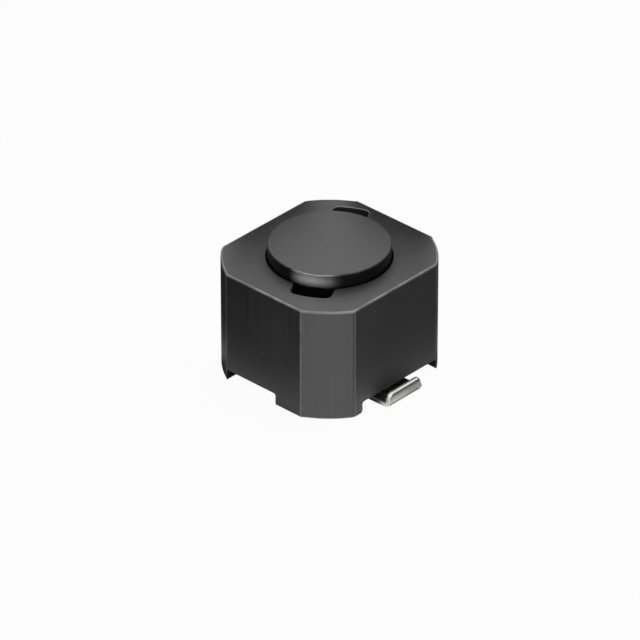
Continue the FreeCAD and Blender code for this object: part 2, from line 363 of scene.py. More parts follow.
# Coil winding: one length of enamelled copper wire, wound on the post in four layers.
# It starts under the layers, ends on the outside, and both ends drop through the slots.
solder_low, solder_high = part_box("solder_joint_right")
lead_foot = (solder_low + solder_high) / 2
winding_low, winding_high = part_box("coil_winding")
wire_radius = 0.21 * MM
bare_wire_share = 0.985
wire_steps = 12
post_clearance = 0.08 * MM
winding_layers = 4
layer_turns = 10
level_turns = 0.5
step_out_rate = 6
turn_points = 48
lead_bend_radius = 0.5 * MM
lead_bend_steps = 8
lead_in_sweep = math.radians(70)
lead_out_sweep = math.radians(24)
lead_in_points = 16
slot_angle = math.atan2(lead_foot.y, lead_foot.x)
lead_radius = math.hypot(lead_foot.x, lead_foot.y)
lead_level = winding_high.z - (2 * layer_turns - 1) * wire_radius
copper_tones = ((0.36, 0.10, 0.035, 1.0), (0.56, 0.19, 0.075, 1.0))
copper_roughness = (0.25, 0.38)
copper_relief = (0.2, 0.003 * MM)


def polar(radius, angle, height):
    """Point at a radius and angle about the part's axis."""
    return Vector((radius * math.cos(angle), radius * math.sin(angle), height))


def lead_end(angle):
    """Lead from the solder up to the level of the lowest turn, and bent in towards the post."""
    points = [polar(lead_radius, angle, winding_low.z)]
    for step in range(lead_bend_steps + 1):
        bend = math.pi / 2 * step / lead_bend_steps
        inward = lead_bend_radius * (1 - math.cos(bend))
        below = lead_bend_radius * (1 - math.sin(bend))
        points.append(polar(lead_radius - inward, angle, lead_level - below))
    return points


def lead_spiral(start_angle, sweep, from_radius, to_radius):
    """Run along the flange that starts straight inwards and ends along the turns."""
    points = []
    for step in range(1, lead_in_points + 1):
        share = math.pi / 2 * step / lead_in_points
        radius = from_radius + (to_radius - from_radius) * math.sin(share)
        points.append(polar(radius, start_angle + sweep * (1 - math.cos(share)), lead_level))
    return points


def layer_height(turn, turns, bottom, rising):
    """Height of the wire's middle in a layer after so many turns."""
    pitch = 2 * wire_radius
    climbed = min(max(turn - level_turns, 0), turns - 1) * pitch
    return bottom + climbed if rising else bottom + (turns - 1) * pitch - climbed


def winding_path():
    """Middle line of the wire up to the end of its last layer, and that layer's radius."""
    first_radius = post_radius + post_clearance + wire_radius
    inner_radius = lead_radius - lead_bend_radius
    path = lead_end(slot_angle)
    path += lead_spiral(slot_angle, lead_in_sweep, inner_radius, first_radius)
    angle = slot_angle + lead_in_sweep
    end_angle = slot_angle + math.pi - lead_out_sweep
    for layer in range(winding_layers):
        turns = layer_turns if layer == 0 else layer_turns - 1
        bottom = lead_level if layer == 0 else lead_level + 2 * wire_radius
        rising = layer % 2 == 0
        radius = first_radius + 2 * wire_radius * layer
        length = turns
        if layer == winding_layers - 1:
            length = turns - 1 + ((end_angle - angle) / (2 * math.pi)) % 1
        points = round(length * turn_points)
        for point in range(1, points + 1):
            turn = length * point / points
            height = layer_height(turn, turns, bottom, rising)
            stepped_out = min(turn * step_out_rate, 1) if layer > 0 else 1
            still_inside = 2 * wire_radius * (1 - stepped_out)
            path.append(polar(radius - still_inside, angle + 2 * math.pi * turn, height))
        angle += 2 * math.pi * length
    return path, radius


def wind_wire():
    """Middle line of the whole wire, from one solder joint to the other."""
    path, radius = winding_path()
    end_angle = slot_angle + math.pi
    inner_radius = lead_radius - lead_bend_radius
    way_out = lead_spiral(end_angle, -lead_out_sweep, inner_radius, radius)
    way_out = list(reversed(way_out))
    start_height = path[-1].z
    for index, point in enumerate(way_out):
        share = index / (len(way_out) - 1)
        point.z = start_height + (lead_level - start_height) * share * share * (3 - 2 * share)
    return path + way_out[1:] + list(reversed(lead_end(end_angle)))


def wire_rings(path, radius):
    """Rings round a path that starts upright, each square to it and turned as little as possible."""
    rings = []
    side = Vector((1, 0, 0))
    for index, point in enumerate(path):
        ahead = (path[min(index + 1, len(path) - 1)] - path[max(index - 1, 0)]).normalized()
        side = (side - ahead * side.dot(ahead)).normalized()
        up = ahead.cross(side)
        ring = []
        for step in range(wire_steps):
            turn = 2 * math.pi * step / wire_steps
            ring.append(point + side * radius * math.cos(turn) + up * radius * math.sin(turn))
        rings.append(ring)
    return rings


def make_enamelled_copper():
    """Copper under clear enamel: warm metal with small changes of tone and a fine grain."""
    plain = {"Metallic": 0.85, "Coat Weight": 0.6, "Coat Roughness": 0.12}
    material, tree, shader = new_material("enamelled_copper", plain)
    grain = add_texture(tree, body_grain, {"Grain Scale": 9000.0, "Cloud Scale": 700.0})
    values = {
        "Base Color": mix_tones(tree, ramp(tree, grain["Cloud"], *cloud_span), *copper_tones),
        "Roughness": ramp(tree, grain["Grain"], *grain_span, *copper_roughness),
        "Normal": relief(tree, grain["Height"], *copper_relief),
    }
    set_inputs(tree, shader, values)
    return material


winding_shell = skin(wire_rings(wind_wire(), wire_radius * bare_wire_share))
winding = make_piece("copper_winding", winding_shell, make_enamelled_copper())
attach(winding, "root")
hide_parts("coil_winding")


# Terminals: two tinned strips, stamped with a round tongue for the lead and bent up outside.
# They lie in the base, and each one's lip and underside are what the board is soldered to.
strip_low, strip_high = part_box("terminal_right")
strip_thickness = 0.35 * MM
strip_tongue_side = -1.64 * MM
tongue_radius = lead_foot.x - strip_low.x
tongue_steps = 16
bend_inner_radius = 0.12 * MM
bend_steps = 10
lip_corner_radius = 0.4 * MM
plate_corner_steps = 8
stamped_edge = 0.035 * MM
lip_outer_round = 0.24 * MM
lip_inner_round = 0.05 * MM
lip_round_start = 0.2 * MM
edge_round_steps = 4
least_mitre = 0.5
same_place = 0.001 * MM
bend_outer_radius = bend_inner_radius + strip_thickness
bend_middle_radius = (bend_inner_radius + bend_outer_radius) / 2
bend_start = strip_high.x - bend_outer_radius
bend_length = math.pi / 2 * bend_middle_radius
blank_length = bend_start + bend_length + strip_high.z - bend_outer_radius
both_sides = {"right": Matrix.Identity(4), "left": Matrix.Rotation(math.pi, 4, "Z")}
rolling_stretch = (0.06, 1.0, 0.06)
tin_tones = ((0.76, 0.754, 0.74, 1.0), (0.90, 0.893, 0.875, 1.0))
tin_mottle_span = (0.35, 0.6)
tin_roughness = (0.26, 0.36)
tin_relief = (0.12, 0.004 * MM)


def strip_outline(clearance, end, end_round):
    """Flat outline of a strip and its tongue, with room all round and rounds at its outer end."""
    far_side = strip_high.y + clearance
    near_side = strip_tongue_side - clearance
    left = strip_low.x - clearance
    reach = tongue_radius + clearance
    lip_start = end - end_round - lip_round_start
    corners = [
        (left, far_side, 0),
        (lip_start, far_side, 0),
        (end, far_side, end_round),
        (end, near_side, end_round),
        (lip_start, near_side, 0),
        (left + 2 * reach, near_side, 0),
    ]
    outline = rounded_corners(corners, plate_corner_steps)
    for step in range(tongue_steps + 1):
        angle = math.pi * step / tongue_steps
        x, y = lead_foot.x + reach * math.cos(angle), lead_foot.y - reach * math.sin(angle)
        outline.append(Vector((x, y)))
    return outline


def plate_from(outline, bottom, top):
    """Plate with a flat outline between two levels."""
    return skin([[(point.x, point.y, height) for point in outline] for height in (bottom, top)])


def strip_blank():
    """Flat strip before it is bent, with small rounds on its edges and large ones on its lip."""
    outline = strip_outline(0, blank_length, lip_corner_radius)
    lip_start = blank_length - lip_corner_radius
    turns = [math.pi / 2 * step / edge_round_steps for step in range(edge_round_steps + 1)]
    levels = [(1 - math.sin(turn), 1 - math.cos(turn), 0) for turn in turns]
    levels += [(1 - math.cos(turn), math.sin(turn) - 1, 1) for turn in turns]
    rings = []
    for inset, rise, from_top in levels:
        lip_round = lip_inner_round if from_top else lip_outer_round
        ring = []
        for index, point in enumerate(outline):
            back = (point - outline[index - 1]).normalized()
            ahead = (outline[(index + 1) % len(outline)] - point).normalized()
            along = (back + ahead).normalized()
            inward = Vector((along.y, -along.x)) / max(along.dot(ahead), least_mitre)
            edge = lip_round if point.x > lip_start - same_place else stamped_edge
            place = point + inward * edge * inset
            ring.append((place.x, place.y, strip_thickness * from_top + edge * rise))
        rings.append(ring)
    return skin(rings)


def bend_up(shell):
    """Bend the outer end of a flat strip up through a right angle."""
    for step in range(-1, bend_steps + 2):
        place = bend_start + bend_length * step / bend_steps
        bmesh.ops.bisect_plane(
            shell,
            geom=shell.verts[:] + shell.edges[:] + shell.faces[:],
            plane_co=(place, 0, 0),
            plane_no=(1, 0, 0),
        )
    for vertex in shell.verts:
        past = vertex.co.x - bend_start
        if past <= 0:
            continue
        turn = min(past / bend_length, 1) * math.pi / 2
        beyond = max(past - bend_length, 0)
        radius = bend_outer_radius - vertex.co.z
        vertex.co.x = bend_start + radius * math.sin(turn)
        vertex.co.z = bend_outer_radius - radius * math.cos(turn) + beyond


def make_rolled_strip_group():
    """Rolling lines along one direction and the mottle of matt tin, as tone and height."""
    scales = {"Line Scale": 9000.0, "Mottle Scale": 1800.0}
    group, given, place = new_group("rolled_strip", scales, ["Lines", "Mottle", "Height"])
    rolled = drawn_out(group, place, rolling_stretch)
    lines = noise(group, rolled, given["Line Scale"], detail=3.0, roughness=0.6)
    mottle = noise(group, place, given["Mottle Scale"], detail=5.0, roughness=0.65)
    height = combine(group, "ADD", lines, mottle)
    add_node(group, "NodeGroupOutput", {"Lines": lines, "Mottle": mottle, "Height": height})
    return group


rolled_strip = make_rolled_strip_group()


def make_tin_plate():
    """Satin tin on rolled strip: light grey metal with rolling lines and a fine mottle."""
    material, tree, shader = new_material("satin_tin", {"Metallic": 1.0})
    roll = add_texture(tree, rolled_strip)
    values = {
        "Base Color": mix_tones(tree, ramp(tree, roll["Mottle"], *tin_mottle_span), *tin_tones),
        "Roughness": ramp(tree, roll["Lines"], *cloud_span, *tin_roughness),
        "Normal": relief(tree, roll["Height"], *tin_relief),
    }
    set_inputs(tree, shader, values)
    return material


tin_plate = make_tin_plate()
for side_name, turned_round in both_sides.items():
    strip_shell = strip_blank()
    bend_up(strip_shell)
    strip_shell.transform(turned_round)
    strip = make_piece("tinned_terminal_" + side_name, strip_shell, tin_plate)
    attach(strip, "root")
    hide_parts("terminal_" + side_name)


# Terminal base: a black moulded plate under the drum, between the feet of the shield.
# Both terminals sit in pockets in its underside, which are a little wider than the strips.
base_low, base_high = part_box("terminal_base")
base_corner_radius = 0.4 * MM
base_edge = 0.05 * MM
base_edge_segments = 2
base_edge_angle = math.radians(50)
pocket_clearance = 0.05 * MM
past_the_base = 1.0 * MM
moulding_tones = ((0.022, 0.022, 0.023, 1.0), (0.036, 0.036, 0.037, 1.0))
moulding_roughness = (0.55, 0.7)
moulding_relief = (0.5, 0.008 * MM)


def cut(piece, tool_shell):
    """Cut a closed shell out of a piece's mesh."""
    tool_mesh = bpy.data.meshes.new("cutting_tool")
    tool_shell.to_mesh(tool_mesh)
    tool_shell.free()
    tool = bpy.data.objects.new("cutting_tool", tool_mesh)
    bpy.context.scene.collection.objects.link(tool)
    difference = piece.modifiers.new("cut", "BOOLEAN")
    difference.operation = "DIFFERENCE"
    difference.solver = "EXACT"
    difference.object = tool
    piece.modifiers.move(len(piece.modifiers) - 1, 0)
    with bpy.context.temp_override(object=piece, active_object=piece, selected_objects=[piece]):
        bpy.ops.object.modifier_apply(modifier=difference.name)
    bpy.data.objects.remove(tool)
    bpy.data.meshes.remove(tool_mesh)


def make_moulding():
    """Matt black moulding compound with a fine spark-eroded texture."""
    material, tree, shader = new_material("black_moulding", {"Specular IOR Level": 0.4})
    grain = add_texture(tree, body_grain, {"Grain Scale": 7000.0, "Cloud Scale": 500.0})
    values = {
        "Base Color": mix_tones(tree, grain["Cloud"], *moulding_tones),
        "Roughness": ramp(tree, grain["Grain"], *grain_span, *moulding_roughness),
        "Normal": relief(tree, grain["Height"], *moulding_relief),
    }
    set_inputs(tree, shader, values)
    return material


def moulded_plate():
    """Plate with its four corners rounded and all its edges slightly rounded."""
    corners = [
        (base_high.x, base_high.y, base_corner_radius),
        (base_low.x, base_high.y, base_corner_radius),
        (base_low.x, base_low.y, base_corner_radius),
        (base_high.x, base_low.y, base_corner_radius),
    ]
    plate = plate_from(rounded_corners(corners, plate_corner_steps), base_low.z, base_high.z)
    edges = [edge for edge in plate.edges if edge.calc_face_angle(0) > base_edge_angle]
    settings = {"segments": base_edge_segments, "profile": 0.5, "affect": "EDGES", "clamp_overlap": True}
    bmesh.ops.bevel(plate, geom=edges, offset=base_edge, **settings)
    return plate


base = make_piece("moulded_base", moulded_plate(), make_moulding())
pocket_outline = strip_outline(pocket_clearance, base_high.x + past_the_base, 0)
for turned_round in both_sides.values():
    pocket = plate_from(pocket_outline, -past_the_base, strip_thickness)
    pocket.transform(turned_round)
    cut(base, pocket)
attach(base, "root")
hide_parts("terminal_base")


# Solder joints: a cone of solder that wets the tongue of the strip and the foot of the lead.
# Surface tension leaves its side hollow and its top thin against the wire.
solder_foot_radius = (solder_high.x - solder_low.x) / 2
solder_neck_wall = 0.06 * MM
solder_hollow = 0.35
solder_levels = 8
solder_steps = 48
solder_sharp_turn = 50
solder_tones = ((0.40, 0.40, 0.39, 1.0), (0.62, 0.62, 0.60, 1.0))
solder_roughness = (0.2, 0.36)
solder_relief = (0.3, 0.005 * MM)


def solder_profile():
    """Half section of the joint round the wire, with a hollow side."""
    height = solder_high.z - solder_low.z
    neck_radius = wire_radius + solder_neck_wall
    profile = [(wire_radius, solder_low.z)]
    for step in range(solder_levels + 1):
        up = step / solder_levels
        share = (1 - up) * (1 - solder_hollow * up)
        radius = neck_radius + (solder_foot_radius - neck_radius) * share
        profile.append((radius, solder_low.z + height * up))
    profile.append((wire_radius, solder_high.z))
    return profile


def make_solder():
    """Bright solder with a fine frosted mottle."""
    material, tree, shader = new_material("bright_solder", {"Metallic": 1.0})
    grain = add_texture(tree, body_grain, {"Grain Scale": 12000.0, "Cloud Scale": 2500.0})
    values = {
        "Base Color": mix_tones(tree, grain["Cloud"], *solder_tones),
        "Roughness": ramp(tree, grain["Cloud"], *cloud_span, *solder_roughness),
        "Normal": relief(tree, grain["Height"], *solder_relief),
    }
    set_inputs(tree, shader, values)
    return material


bright_solder = make_solder()
for side_name, turned_round in both_sides.items():
    joint_shell = skin(turned_rings(solder_profile(), solder_steps, lead_foot), wrap=True)
    joint_shell.transform(turned_round)
    joint = make_piece("solder_cone_" + side_name, joint_shell, bright_solder, solder_sharp_turn)
    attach(joint, "root")
    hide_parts("solder_joint_" + side_name)


# Shield core: the square ferrite ring round the drum, with clipped and bowed corners.
# It is pressed and fired, its bore has two open slots, and channels under it leave four feet.
_, shield_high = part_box("shield_core")
shield_top = shield_high.z
terminal_face_flat = 7.68 * MM
plain_face_flat = 6.52 * MM
corner_bow_radius = 7.0 * MM
corner_bow_steps = 14
ridge_round = 0.15 * MM
ridge_round_steps = 6
ridge_reach = 0.3 * MM
shield_edge_round = 0.12 * MM
mouth_edge_round = 0.05 * MM
face_support = 0.02 * MM
round_steps = 5
wall_levels = (0.25, 0.5, 0.75)
top_shares = (0.33, 0.67)
bore_gap = 0.1 * MM
bore_radius = flange_radius + bore_gap
bore_arc_steps = 60
front_slot_width = 2.7 * MM
rear_slot_width = 2.4 * MM
slot_corner_radius = 0.45 * MM
slot_wall_shares = (0.35, 0.65)
slot_floor_steps = 16
mouth_corner_radius = 0.28 * MM
mouth_corner_steps = 6
least_angle_apart = 0.002
channel_height = drum_bottom
channel_corner_radius = 0.15 * MM
channel_reach = 20 * MM
foot_edge_rounds = (0.1 * MM, 0.32 * MM)
foot_round_shares = (0, 0.03, 0.1, 0.2, 0.3, 0.45, 0.65, 1)
large_foot_start = (1.07 * MM, 3.15 * MM)
small_foot_start = (plain_face_flat / 2, terminal_face_flat / 2)
shield_wear_and_highlight = 1.0
wear_and_highlight_from_radius = shield_high.y - 0.74 * MM


def farthest_from_axis(node):
    """Greatest distance of a CAD node from the part's axis."""
    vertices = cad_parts[node].data.vertices
    return max(math.hypot(vertex.co.x, vertex.co.y) for vertex in vertices)


slots = {
    "front": (front_slot_width, farthest_from_axis("core_adhesive_front"), slot_angle),
    "rear": (rear_slot_width, farthest_from_axis("core_adhesive_rear"), slot_angle + math.pi),
}


def slot_reach(across, width, floor_radius):
    """How far a slot reaches from the axis, at a distance to the side of its middle."""
    corner_across = width / 2 - slot_corner_radius
    corner_along = math.sqrt((floor_radius - slot_corner_radius) ** 2 - corner_across**2)
    floor_ends = floor_radius * corner_across / (floor_radius - slot_corner_radius)
    if abs(across) <= floor_ends:
        return math.sqrt(floor_radius**2 - across**2)
    side = min(abs(across) - corner_across, slot_corner_radius)
    return corner_along + math.sqrt(slot_corner_radius**2 - side**2)


def slot_outline(width, floor_radius, direction):
    """Outline of a slot from one end of its mouth to the other, counter-clockwise."""
    along = Vector((math.cos(direction), math.sin(direction)))
    sideways = Vector((-along.y, along.x))
    half_width = width / 2
    corner_across = half_width + mouth_corner_radius
    wall_start = math.sqrt((bore_radius + mouth_corner_radius) ** 2 - corner_across**2)
    wall_end = slot_reach(half_width, width, floor_radius)
    walls = [wall_start + (wall_end - wall_start) * share for share in slot_wall_shares]
    corner = Vector((wall_start, corner_across))
    outward = corner.normalized()
    steps = range(mouth_corner_steps + 1)
    turns = [-outward.slerp(Vector((0, 1)), step / mouth_corner_steps) for step in steps]
    mouth = [corner + turn * mouth_corner_radius for turn in turns]
    points = [along * point.x - sideways * point.y for point in mouth]
    points += [along * reach - sideways * half_width for reach in walls]
    for step in range(-slot_floor_steps, slot_floor_steps + 1):
        across = half_width * math.sin(math.pi / 2 * step / slot_floor_steps)
        points.append(along * slot_reach(across, width, floor_radius) + sideways * across)
    points += [along * reach + sideways * half_width for reach in reversed(walls)]
    points += [along * point.x + sideways * point.y for point in reversed(mouth)]
    return points


def mouth_half_angle(width):
    """Angle about the axis from the middle of a slot to where its mouth meets the bore."""
    return math.asin((width / 2 + mouth_corner_radius) / (bore_radius + mouth_corner_radius))


def bore_outline():
    """Outline of the bore with its two slots, counter-clockwise."""
    points = []
    shapes = list(slots.values())
    for index, (width, floor_radius, direction) in enumerate(shapes):
        points += slot_outline(width, floor_radius, direction)
        next_width, _, next_direction = shapes[1 - index]
        start = direction + mouth_half_angle(width)
        end = next_direction + 2 * math.pi * index - mouth_half_angle(next_width)
        for step in range(1, bore_arc_steps):
            points.append(polar(bore_radius, start + (end - start) * step / bore_arc_steps, 0).xy)
    return points


def bowed_points(start, end):
    """Points of a bowed corner from start to end, both left out."""
    half_chord = (end - start).length / 2
    outward = (start + end).normalized()
    middle = (start + end) / 2 - outward * math.sqrt(corner_bow_radius**2 - half_chord**2)
    first = (start - middle).normalized()
    last = (end - middle).normalized()
    shares = [step / corner_bow_steps for step in range(1, corner_bow_steps)]
    return [middle + first.slerp(last, share) * corner_bow_radius for share in shares]


def shield_outline():
    """Outline of the shield, counter-clockwise: four flats and four bowed corners."""
    face_x, face_y = shield_high.x, shield_high.y
    flat_x, flat_y = plain_face_flat / 2, terminal_face_flat / 2
    flats = [
        (Vector((face_x, -flat_y)), Vector((face_x, flat_y))),
        (Vector((flat_x, face_y)), Vector((-flat_x, face_y))),
        (Vector((-face_x, flat_y)), Vector((-face_x, -flat_y))),
        (Vector((-flat_x, -face_y)), Vector((flat_x, -face_y))),
    ]
    corners = []
    for index, (start, end) in enumerate(flats):
        next_start = flats[(index + 1) % len(flats)][0]
        inward = (end - start).normalized() * ridge_reach
        corners += [(*start, ridge_round), (*(start + inward), 0)]
        corners += [(*(end - inward), 0), (*end, ridge_round)]
        corners += [(*point, 0) for point in bowed_points(end, next_start)]
    return rounded_corners(corners, ridge_round_steps)


def outline_at(outline, angle):
    """Point where a closed outline meets the ray from the axis at an angle."""
    ray = Vector((math.cos(angle), math.sin(angle)))
    for index, start in enumerate(outline):
        end = outline[(index + 1) % len(outline)]
        before = ray.cross(start)
        after = ray.cross(end)
        if before <= 0 < after and ray.dot(start) > 0:
            return start.lerp(end, before / (before - after))
    raise ValueError("the outline doesn't close round the axis")


def shared_angles(*outlines):
    """Sorted angles, seen from the axis, of all the outlines' points, without near doubles."""
    angles = sorted(math.atan2(point.y, point.x) for outline in outlines for point in outline)
    kept = [angles[0]]
    for angle in angles:
        if angle - kept[-1] > least_angle_apart:
            kept.append(angle)
    return kept


def outward_normals(loop):
    """Unit normals of a closed counter-clockwise loop, pointing away from what it goes round."""
    normals = []
    for index, point in enumerate(loop):
        back = (point - loop[index - 1]).normalized()
        ahead = (loop[(index + 1) % len(loop)] - point).normalized()
        along = (back + ahead).normalized()
        normals.append(Vector((along.y, -along.x)))
    return normals


def moved_ring(loop, normals, distance, height):
    """Loop moved outwards by a distance, at a height."""
    return [(*(point + normal * distance), height) for point, normal in zip(loop, normals)]


def ring_between(outer_ring, inner_ring, share):
    """Ring on the flat between two rings."""
    return [Vector(outer).lerp(Vector(inner), share) for outer, inner in zip(outer_ring, inner_ring)]


def quarter_turn_steps():
    """Angles of a round edge, from where it starts to where it ends."""
    return [math.pi / 2 * step / round_steps for step in range(round_steps + 1)]


def shield_rings():
    """Rings over the shield: up its outside, across its top, down the bore and back below."""
    outside, inside = shield_outline(), bore_outline()
    angles = shared_angles(outside, inside)
    outer_loop = [outline_at(outside, angle) for angle in angles]
    inner_loop = [outline_at(inside, angle) for angle in angles]
    outer_normals, inner_normals = outward_normals(outer_loop), outward_normals(inner_loop)
    turns = quarter_turn_steps()
    edge, mouth = shield_edge_round, mouth_edge_round
    outer = [(-edge * (1 - math.sin(turn)), edge * (1 - math.cos(turn))) for turn in turns]
    outer += [(0, edge + face_support)]
    outer += [(0, shield_top * level) for level in wall_levels]
    outer += [(0, shield_top - edge - face_support)]
    outer += [(-edge * (1 - math.cos(turn)), shield_top - edge * (1 - math.sin(turn))) for turn in turns]
    outer += [(-edge - face_support, shield_top)]
    inner = [(mouth + face_support, shield_top)]
    inner += [(mouth * (1 - math.sin(turn)), shield_top - mouth * (1 - math.cos(turn))) for turn in turns]
    inner += [(0, shield_top * level) for level in reversed(wall_levels)] + [(0, 0)]
    outer_rings = [moved_ring(outer_loop, outer_normals, *step) for step in outer]
    inner_rings = [moved_ring(inner_loop, inner_normals, *step) for step in inner]
    across = [ring_between(outer_rings[-1], inner_rings[0], share) for share in top_shares]
    return outer_rings + across + inner_rings


def channel_levels():
    """Heights of the channels' cutter, with how far it is set in along X and along Y there."""
    levels = [(tuple(-edge for edge in foot_edge_rounds), -past_the_base)]
    for share in foot_round_shares:
        height = max(foot_edge_rounds) * share
        insets = (math.sqrt(edge**2 - max(edge - height, 0) ** 2) - edge for edge in foot_edge_rounds)
        levels.append((tuple(insets), height))
    for turn in quarter_turn_steps():
        inset = channel_corner_radius * (1 - math.cos(turn))
        levels.append(((inset, inset), channel_height - channel_corner_radius * (1 - math.sin(turn))))
    return levels


def channel_cutter():
    """What is ground away under the shield: a cross of channels with rounded upper edges."""
    large_x, large_y = large_foot_start
    small_x, small_y = small_foot_start
    half = [
        Vector((-small_x, -channel_reach)),
        Vector((large_x, -channel_reach)),
        Vector((large_x, -large_y)),
        Vector((channel_reach, -large_y)),
        Vector((channel_reach, small_y)),
        Vector((small_x, small_y)),
    ]
    plan = half + [-corner for corner in half]
    rings = []
    for insets, height in channel_levels():
        ring = []
        for index, corner in enumerate(plan):
            back = (corner - plan[index - 1]).normalized()
            ahead = (plan[(index + 1) % len(plan)] - corner).normalized()
            inward = Vector((-back.y, back.x)) + Vector((-ahead.y, ahead.x))
            ring.append((corner.x + inward.x * insets[0], corner.y + inward.y * insets[1], height))
        rings.append(ring)
    return skin(rings)


shield_shell = skin(shield_rings(), wrap=True)
shield = make_piece("ferrite_shield", shield_shell, ferrite)
cut(shield, channel_cutter())
cut_shell = bmesh.new()
cut_shell.from_mesh(shield.data)
# The shield's outer edges get burnished wear and a painted edge highlight; the bore's edges don't.
mark_wear_and_highlight(cut_shell, shield_wear_and_highlight, wear_and_highlight_from_radius)
cut_shell.to_mesh(shield.data)
cut_shell.free()
shield.data.set_sharp_from_angle(angle=math.radians(sharp_turn))
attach(shield, "root")
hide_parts("shield_core")


# Core adhesive: a bead of black epoxy low in each slot, which bonds the drum to the shield.
# It was run in as a liquid, so both its faces are hollow between the walls that it wets.
bead_low, bead_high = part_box("core_adhesive_front")
bead_dip = 0.14 * MM
bead_flatness = 4
bead_points = 10
bead_rings = 28
bead_sharp_turn = 60
epoxy_tones = ((0.012, 0.012, 0.013, 1.0), (0.022, 0.022, 0.024, 1.0))
epoxy_roughness = (0.22, 0.36)
epoxy_relief = (0.3, 0.01 * MM)


def bead_shell(width, floor_radius, direction):
    """Bead that fills a slot between the drum and the slot's floor."""
    along = Vector((math.cos(direction), math.sin(direction), 0))
    sideways = Vector((-along.y, along.x, 0))
    rings = []
    for step in range(bead_rings + 1):
        share = 2 * step / bead_rings - 1
        across = width / 2 * math.sin(math.pi / 2 * share)
        start = math.sqrt(flange_radius**2 - across**2)
        end = slot_reach(across, width, floor_radius)
        upper, lower = [], []
        for point in range(bead_points + 1):
            out = point / bead_points
            across_dip = bead_dip * (1 - share**bead_flatness)
            dip = across_dip * math.sqrt(1 - (2 * out - 1) ** bead_flatness)
            place = along * (start + (end - start) * out) + sideways * across
            upper.append(place + Vector((0, 0, bead_high.z - dip)))
            lower.append(place + Vector((0, 0, bead_low.z + dip)))
        rings.append(upper + list(reversed(lower)))
    return skin(rings)


def make_epoxy():
    """Black epoxy with a cured gloss and slight waves."""
    material, tree, shader = new_material("black_epoxy", {"Coat Weight": 0.3})
    grain = add_texture(tree, body_grain, {"Grain Scale": 2500.0, "Cloud Scale": 900.0})
    values = {
        "Base Color": mix_tones(tree, grain["Cloud"], *epoxy_tones),
        "Roughness": ramp(tree, grain["Cloud"], *cloud_span, *epoxy_roughness),
        "Normal": relief(tree, grain["Grain"], *epoxy_relief),
    }
    set_inputs(tree, shader, values)
    return material


black_epoxy = make_epoxy()
for side_name, slot_shape in slots.items():
    bead = make_piece("epoxy_bead_" + side_name, bead_shell(*slot_shape), black_epoxy, bead_sharp_turn)
    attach(bead, "root")
    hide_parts("core_adhesive_" + side_name)


# Studio: a white floor and white surroundings, a soft lamp above and behind the part, and a
# narrow one for the side of its disc. Gloss shows painted pools of light and painted shadows
# on the floor round the part, little light low to the sides, and the two dark cards that hang behind it.
floor_radius = 3.0
floor_sides = 96
floor_clearance = 0.03 * MM
floor_colour = (0.80, 0.80, 0.80, 1.0)
floor_shadow_share = 0.04
footprint_span = (0.6, 0.75)
under_light = 0.5
# Painted light on the floor that only gloss sees: pools in front, close round the part and to the right, and
# painted shadow under the part and at the foot of each strip.
clear_of_part_span = (0.93, 1.1)
clear_of_strips_span, strip_shadow = (1.0, 1.08), (0.3, 1.0)
front_pool_span, front_pool = (2 * MM, 6 * MM), (0.0, 0.70)
near_pool_span, near_pool = (1.1, 1.7), (0.45, 0.0)
lit_side_span, lit_side_shares = (-3.5 * MM, 2 * MM), (0.5, 1.0)
right_side_span, right_side_shares = (0.0, 4 * MM), (1.0, 1.9)
right_pool_span, right_pool = (-2 * MM, 8 * MM), (0.02, 0.12)
white = (1.0, 1.0, 1.0, 1.0)
black = (0.0, 0.0, 0.0, 1.0)
surroundings_light = 0.16
horizon_span, horizon_light = (0.1, 0.5), (0.015, 1.0)
front_lift, back_lift, side_drop = 0.45, 0.25, 0.35
card_bottom = 8.3 * MM
card_light = 0.002
front_azimuth = math.radians(43)
part_middle = Vector((0, 0, 4.0 * MM))
disc_side_azimuth = front_azimuth - math.radians(16)
disc_side_height = 8.5 * MM
softbox_light = 0.45
softbox_distance = 0.30
softbox_width = 0.16
strip_lamp_power = 0.00005
strip_lamp_spread = math.radians(5)


def direction_from(azimuth, elevation):
    """Direction from the part towards a place round it; azimuth 0 is in front, at -Y."""
    flat = math.cos(elevation)
    return Vector((math.sin(azimuth) * flat, -math.cos(azimuth) * flat, math.sin(elevation)))


def ray_kinds(tree):
    """Factors that are 1 for rays seen directly or through glass, and for rays from gloss."""
    path = add_node(tree, "ShaderNodeLightPath").outputs
    seen = combine(tree, "MAXIMUM", path["Is Camera Ray"], path["Is Transmission Ray"])
    return seen, path["Is Glossy Ray"]


def smooth_step(tree, value, span, levels=(0.0, 1.0)):
    """Value taken smoothly from one level to the other over a span."""
    return ramp(tree, value, *span, *levels, "SMOOTHSTEP")


def turned_to_front(tree, output):
    """Coordinates across, ahead of and above the part, as sockets."""
    place = add_node(tree, "ShaderNodeTexCoord").outputs[output]
    values = {"Vector": place, "Angle": -front_azimuth}
    turned = add_node(tree, "ShaderNodeVectorRotate", values, rotation_type="Z_AXIS").outputs["Vector"]
    parts = add_node(tree, "ShaderNodeSeparateXYZ", {"Vector": turned}).outputs
    return parts["X"], combine(tree, "MULTIPLY", parts["Y"], -1.0), parts["Z"]


def share_of_reach(tree, reach):
    """How far out a place is: 1 at the sides of a box of that reach, and more outside it."""
    place = add_node(tree, "ShaderNodeTexCoord").outputs["Object"]
    parts = add_node(tree, "ShaderNodeSeparateXYZ", {"Vector": place}).outputs
    sides = [combine(tree, "ABSOLUTE", parts[axis]) for axis in "XY"]
    shares = [combine(tree, "DIVIDE", side, length) for side, length in zip(sides, reach)]
    return combine(tree, "MAXIMUM", *shares)


